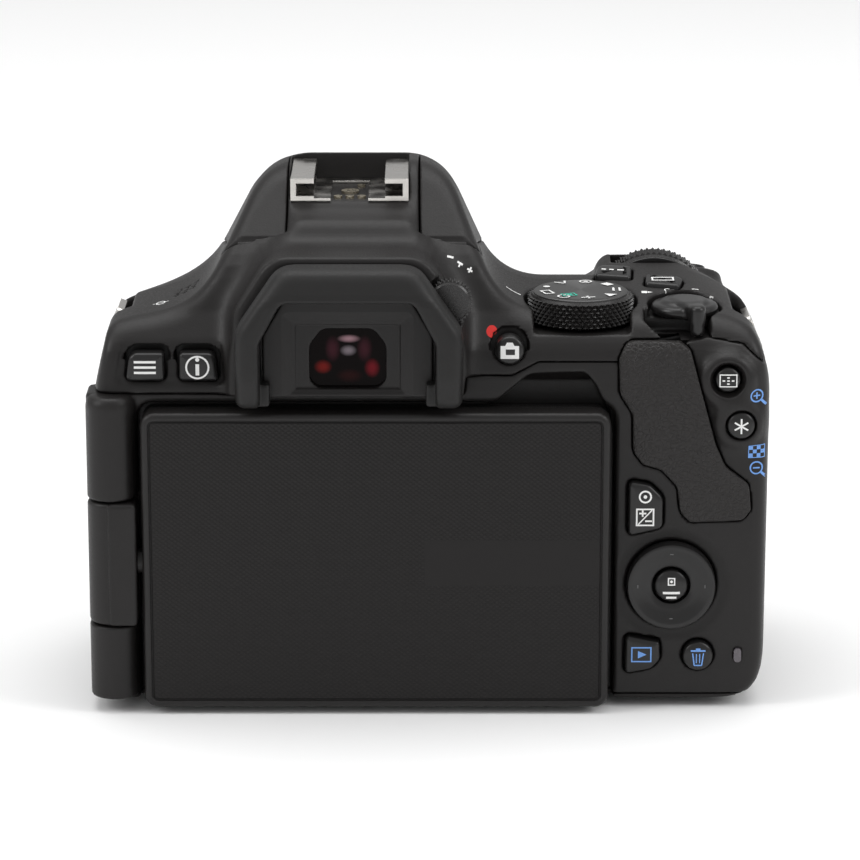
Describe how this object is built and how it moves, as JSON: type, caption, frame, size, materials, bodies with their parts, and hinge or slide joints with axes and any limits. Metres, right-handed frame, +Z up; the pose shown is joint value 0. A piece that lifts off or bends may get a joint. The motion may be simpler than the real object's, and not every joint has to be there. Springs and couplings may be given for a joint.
{
  "type": "digital single-lens reflex camera",
  "caption": "Compact single-lens reflex camera body with a side-hinged swing-out screen, pop-up flash, mode dial, hot shoe, hand grip and open lens mount.",
  "frame": {"origin": "mouth of the tripod socket on the base plane, under the optical axis", "axes": "+X to the viewer's right, +Y forward through the lens mount, +Z up"},
  "size_m": [0.1228, 0.0707, 0.0926],
  "materials": {
    "body_plastic": "fine grained moulded",
    "button_plastic": "satin moulded",
    "grip_rubber": "leather grained",
    "dial_plastic": "knurled and spun",
    "bright_metal": "satin nickel",
    "mount_steel": "turned",
    "clear_glass": "coated",
    "flash_diffuser": "ribbed diffuser",
    "lamp_red": "translucent",
    "mirror_glass": "front silvered",
    "circuit_board": "solder mask",
    "display_glass": "polished black",
    "sensor_glass": "filter glass",
    "frame_steel": "pressed sheet",
    "inner_black": "flocked black",
    "contact_gold": "plated"
  },
  "bodies": {
    "body": {"rear_cover": "body_plastic", "front_cover": "body_plastic", "grip_cover": "body_plastic", "top_cover": "body_plastic", "base_cover": "body_plastic", "thumb_rest": "grip_rubber", "grip_rubber": "grip_rubber", "access_lamp": "lamp_red", "self_timer_lamp": "lamp_red", "hinge_pins": "mount_steel", "hot_shoe": "bright_metal", "signal_contacts": "contact_gold", "eyepiece_frame": "body_plastic", "eyepiece_lens": "clear_glass", "pentamirror": "mirror_glass", "focusing_screen": "clear_glass", "lens_mount": "mount_steel", "mirror_box": "inner_black", "shutter_frame": "inner_black", "image_sensor": "sensor_glass", "main_board": "circuit_board", "chassis": "frame_steel", "tripod_socket": "mount_steel", "battery": "body_plastic", "strap_lugs": "bright_metal", "casing_screws": "mount_steel"},
    "screen": {"screen_hinge_block": "body_plastic", "screen_back_cover": "body_plastic", "screen_bezel": "body_plastic", "screen_display": "display_glass"},
    "flash": {"flash_cover": "body_plastic", "flash_lens": "flash_diffuser"},
    "mode_dial": {"mode_dial": "dial_plastic"},
    "main_dial": {"main_dial": "dial_plastic"},
    "power_lever": {"power_lever": "button_plastic"},
    "shutter_button": {"shutter_button": "button_plastic"},
    "iso_button": {"iso_button": "button_plastic"},
    "disp_button": {"disp_button": "button_plastic"},
    "live_view_button": {"live_view_button": "button_plastic"},
    "menu_button": {"menu_button": "button_plastic"},
    "info_button": {"info_button": "button_plastic"},
    "af_point_button": {"af_point_button": "button_plastic"},
    "ae_lock_button": {"ae_lock_button": "button_plastic"},
    "exposure_button": {"exposure_button": "button_plastic"},
    "playback_button": {"playback_button": "button_plastic"},
    "delete_button": {"delete_button": "button_plastic"},
    "key_gimbal": {"key_gimbal": "button_plastic"},
    "four_way_key": {"four_way_key": "button_plastic"},
    "set_button": {"set_button": "button_plastic"},
    "diopter_dial": {"diopter_dial": "dial_plastic"},
    "lens_release_button": {"lens_release_button": "button_plastic"},
    "lens_lock_pin": {"lens_lock_pin": "bright_metal"},
    "battery_door": {"battery_door": "body_plastic"},
    "battery_latch": {"battery_latch": "button_plastic"},
    "left_terminal_cover": {"left_terminal_cover": "grip_rubber"},
    "right_terminal_cover": {"right_terminal_cover": "grip_rubber"},
    "main_mirror": {"main_mirror": "mirror_glass"},
    "sub_mirror": {"sub_mirror": "mirror_glass"},
    "shutter_curtain": {"shutter_curtain": "inner_black"},
    "eyecup": {"eyecup": "grip_rubber"}
  },
  "joints": [
    {"name": "screen_swing", "type": "hinge", "parent": "body", "child": "screen", "pos_m": [-0.0414, -0.0194, 0.027], "axis": [0, 0, -1], "range_deg": [0, 175]},
    {"name": "flash_lift", "type": "hinge", "parent": "body", "child": "flash", "pos_m": [0, -0.0055, 0.0805], "axis": [1, 0, 0], "range_deg": [0, 55]},
    {"name": "mode_dial_turn", "type": "hinge", "parent": "body", "child": "mode_dial", "pos_m": [0.0407, -0.0072, 0.07], "axis": [0, 0, 1], "continuous": true},
    {"name": "main_dial_turn", "type": "hinge", "parent": "body", "child": "main_dial", "pos_m": [0.0546, 0.0141, 0.0645], "axis": [0, 1, 0], "continuous": true},
    {"name": "power_lever_turn", "type": "hinge", "parent": "body", "child": "power_lever", "pos_m": [0.0589, -0.0089, 0.07], "axis": [0, 0, -1], "range_deg": [0, 50]},
    {"name": "shutter_press", "type": "slide", "parent": "body", "child": "shutter_button", "axis": [0, -0.4003, -0.9164], "range_m": [0, 0.0012], "stiffness_N_per_m": 500},
    {"name": "iso_press", "type": "slide", "parent": "body", "child": "iso_button", "axis": [0, 0, -1], "range_m": [0, 0.0007], "stiffness_N_per_m": 400},
    {"name": "disp_press", "type": "slide", "parent": "body", "child": "disp_button", "axis": [0, 0, -1], "range_m": [0, 0.0007], "stiffness_N_per_m": 400},
    {"name": "live_view_press", "type": "slide", "parent": "body", "child": "live_view_button", "axis": [0, 1, 0], "range_m": [0, 0.0005], "stiffness_N_per_m": 400},
    {"name": "menu_press", "type": "slide", "parent": "body", "child": "menu_button", "axis": [0, 1, 0], "range_m": [0, 0.0005], "stiffness_N_per_m": 400},
    {"name": "info_press", "type": "slide", "parent": "body", "child": "info_button", "axis": [0, 1, 0], "range_m": [0, 0.0005], "stiffness_N_per_m": 400},
    {"name": "af_point_press", "type": "slide", "parent": "body", "child": "af_point_button", "axis": [0, 1, 0], "range_m": [0, 0.0006], "stiffness_N_per_m": 400},
    {"name": "ae_lock_press", "type": "slide", "parent": "body", "child": "ae_lock_button", "axis": [0, 1, 0], "range_m": [0, 0.0006], "stiffness_N_per_m": 400},
    {"name": "exposure_press", "type": "slide", "parent": "body", "child": "exposure_button", "axis": [0, 1, 0], "range_m": [0, 0.0006], "stiffness_N_per_m": 400},
    {"name": "playback_press", "type": "slide", "parent": "body", "child": "playback_button", "axis": [0, 1, 0], "range_m": [0, 0.0006], "stiffness_N_per_m": 400},
    {"name": "delete_press", "type": "slide", "parent": "body", "child": "delete_button", "axis": [0, 1, 0], "range_m": [0, 0.0006], "stiffness_N_per_m": 400},
    {"name": "set_press", "type": "slide", "parent": "body", "child": "set_button", "axis": [0, 1, 0], "range_m": [0, 0.0006], "stiffness_N_per_m": 400},
    {"name": "key_rock_vertical", "type": "hinge", "parent": "body", "child": "key_gimbal", "pos_m": [0.0566, -0.0175, 0.0225], "axis": [1, 0, 0], "range_deg": [-2.2, 2.2], "stiffness_Nm_per_rad": 0.8},
    {"name": "key_rock_sideways", "type": "hinge", "parent": "key_gimbal", "child": "four_way_key", "pos_m": [0.0566, -0.0175, 0.0225], "axis": [0, 0, 1], "range_deg": [-2.2, 2.2], "stiffness_Nm_per_rad": 0.8},
    {"name": "diopter_turn", "type": "hinge", "parent": "body", "child": "diopter_dial", "pos_m": [0.0176, -0.02, 0.0738], "axis": [0, 1, 0], "range_deg": [-120, 120]},
    {"name": "lens_release_press", "type": "slide", "parent": "body", "child": "lens_release_button", "axis": [0, -1, 0], "range_m": [0, 0.0025], "stiffness_N_per_m": 600},
    {"name": "lens_lock_retract", "type": "slide", "parent": "body", "child": "lens_lock_pin", "axis": [0, -1, 0], "range_m": [0, 0.002]},
    {"name": "battery_door_open", "type": "hinge", "parent": "body", "child": "battery_door", "pos_m": [0.0448, 0.007, 0], "axis": [0, 1, 0], "range_deg": [0, 90]},
    {"name": "battery_latch_slide", "type": "slide", "parent": "battery_door", "child": "battery_latch", "axis": [-1, 0, 0], "range_m": [0, 0.003]},
    {"name": "left_cover_open", "type": "hinge", "parent": "body", "child": "left_terminal_cover", "pos_m": [-0.0471, 0.009, 0.034], "axis": [0, 0, -1], "range_deg": [0, 100]},
    {"name": "right_cover_open", "type": "hinge", "parent": "body", "child": "right_terminal_cover", "pos_m": [0.07545, 0.004, 0.028], "axis": [0, 0, 1], "range_deg": [0, 100]},
    {"name": "mirror_swing", "type": "hinge", "parent": "body", "child": "main_mirror", "pos_m": [0, 0.0032, 0.0494], "axis": [1, 0, 0], "range_deg": [0, 45], "stiffness_Nm_per_rad": 0.02, "springref_deg": -11.46},
    {"name": "sub_mirror_fold", "type": "hinge", "parent": "main_mirror", "child": "sub_mirror", "pos_m": [0, 0.01144, 0.0401], "axis": [1, 0, 0], "range_deg": [0, 90]},
    {"name": "shutter_drop", "type": "slide", "parent": "body", "child": "shutter_curtain", "axis": [0, 0, -1], "range_m": [0, 0.017]},
    {"name": "eyecup_pull", "type": "slide", "parent": "body", "child": "eyecup", "axis": [0, 0, 1], "range_m": [0, 0.022]}
  ],
  "couplings": [
    {"joint": "lens_lock_retract", "follows": "lens_release_press", "ratio": 0.8},
    {"joint": "sub_mirror_fold", "follows": "mirror_swing", "ratio": 2}
  ]
}
